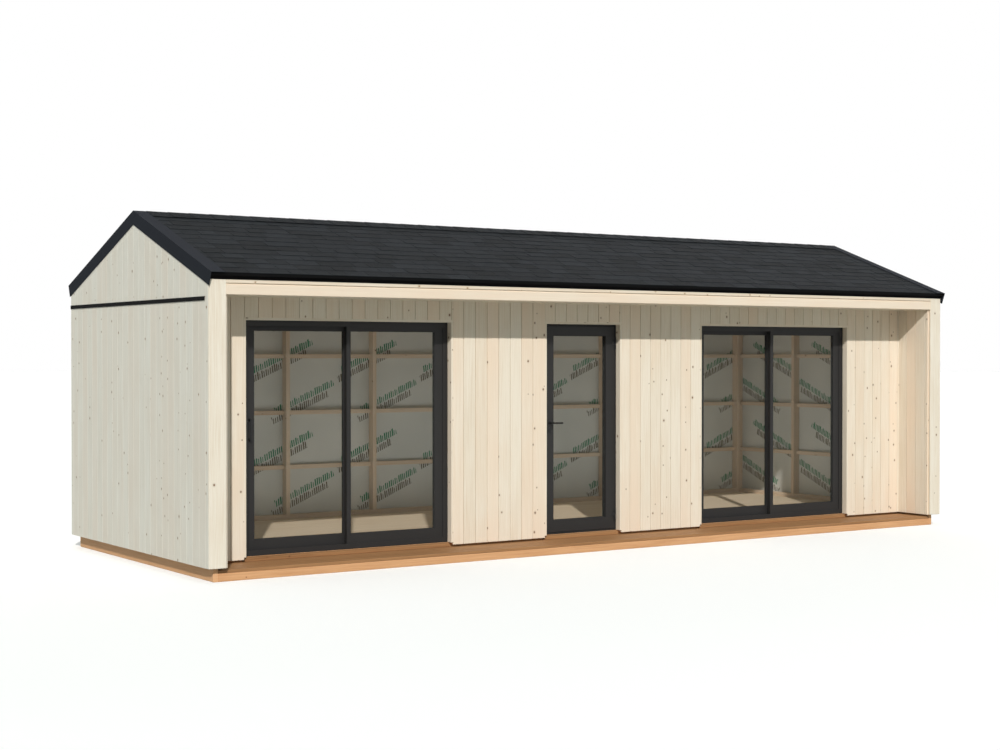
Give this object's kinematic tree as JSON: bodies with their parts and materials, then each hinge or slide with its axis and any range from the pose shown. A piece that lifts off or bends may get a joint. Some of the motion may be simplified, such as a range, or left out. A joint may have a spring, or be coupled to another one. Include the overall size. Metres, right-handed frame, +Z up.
{
  "type": "garden office pod",
  "caption": "Timber garden office with a pitched shingle roof, a shallow porch between wing walls, two glazed sliding doors and a glazed hinged door",
  "frame": {"origin": "on the ground at the centre of the plan", "axes": "+X along the front to the right, +Y from the front to the back, +Z up"},
  "size_m": [8.982, 3.4904, 3.2672],
  "materials": {
    "front_cladding": "planed spruce, untreated",
    "end_cladding": "planed spruce, untreated",
    "framing_timber": "planed softwood",
    "treated_timber": "pressure treated, brown",
    "floor_spruce": "planed spruce",
    "membrane": "non-woven sheet, matt",
    "roof_shingles": "mineral granules on bitumen",
    "black_flashing": "matt black coated sheet",
    "door_profiles": "matt anthracite powder coat",
    "glass": "clear double glazing",
    "door_fittings": "matt black"
  },
  "bodies": {
    "root": {"back_wall_cladding": "end_cladding", "back_wall_rails": "framing_timber", "back_wall_studs": "framing_timber", "cladding_battens": "framing_timber", "corner_front_boards": "front_cladding", "corner_side_boards": "end_cladding", "door_frame": "door_profiles", "door_head_linings": "front_cladding", "door_hinge_pins": "door_fittings", "door_jamb_linings": "front_cladding", "door_lintels": "framing_timber", "door_sills": "treated_timber", "eave_trims": "black_flashing", "end_wall_rails": "framing_timber", "end_wall_studs": "framing_timber", "floor_and_porch_joists": "treated_timber", "floor_boards": "floor_spruce", "foundation_long_bearers": "treated_timber", "foundation_side_bearers": "treated_timber", "front_wall_over_doors": "front_cladding", "front_wall_piers": "front_cladding", "front_wall_studs": "framing_timber", "gable_drips": "black_flashing", "left_gable": "end_cladding", "left_slider_fixed_leaf": "door_profiles", "left_slider_frame": "door_profiles", "left_verge_trim": "black_flashing", "left_wall_cladding": "end_cladding", "porch_beam": "front_cladding", "porch_deck_boards": "treated_timber", "porch_eave_rail": "front_cladding", "porch_front_beam": "treated_timber", "ridge_cap": "roof_shingles", "right_gable": "end_cladding", "right_slider_fixed_leaf": "door_profiles", "right_slider_frame": "door_profiles", "right_verge_trim": "black_flashing", "right_wall_cladding": "end_cladding", "roof_boards_back": "framing_timber", "roof_boards_front": "framing_timber", "roof_purlins": "framing_timber", "shingles_back": "roof_shingles", "shingles_front": "roof_shingles", "slider_fixed_glass": "glass", "slider_tracks": "door_profiles", "wall_membranes": "membrane", "wing_linings": "front_cladding"},
    "left_leaf": {"left_slider_leaf": "door_profiles", "left_slider_glass": "glass", "left_slider_pull": "door_fittings", "left_slider_interlock": "door_profiles"},
    "right_leaf": {"right_slider_leaf": "door_profiles", "right_slider_glass": "glass", "right_slider_pull": "door_fittings", "right_slider_interlock": "door_profiles"},
    "door": {"door_leaf": "door_profiles", "door_glass": "glass", "door_hinge_knuckles": "door_fittings", "door_roses": "door_fittings"},
    "lever": {"door_lever": "door_fittings"}
  },
  "joints": [
    {"name": "left_door_slide", "type": "slide", "parent": "root", "child": "left_leaf", "axis": [1, 0, 0], "range_m": [0, 0.94]},
    {"name": "right_door_slide", "type": "slide", "parent": "root", "child": "right_leaf", "axis": [1, 0, 0], "range_m": [0, 0.94]},
    {"name": "door_swing", "type": "hinge", "parent": "root", "child": "door", "pos_m": [0.2245, -1.1625, 1.19], "axis": [0, 0, 1], "range_deg": [0, 100]},
    {"name": "lever_turn", "type": "hinge", "parent": "door", "child": "lever", "pos_m": [-0.587, -1.2015, 1.252], "axis": [0, 1, 0], "range_deg": [0, 40]}
  ]
}
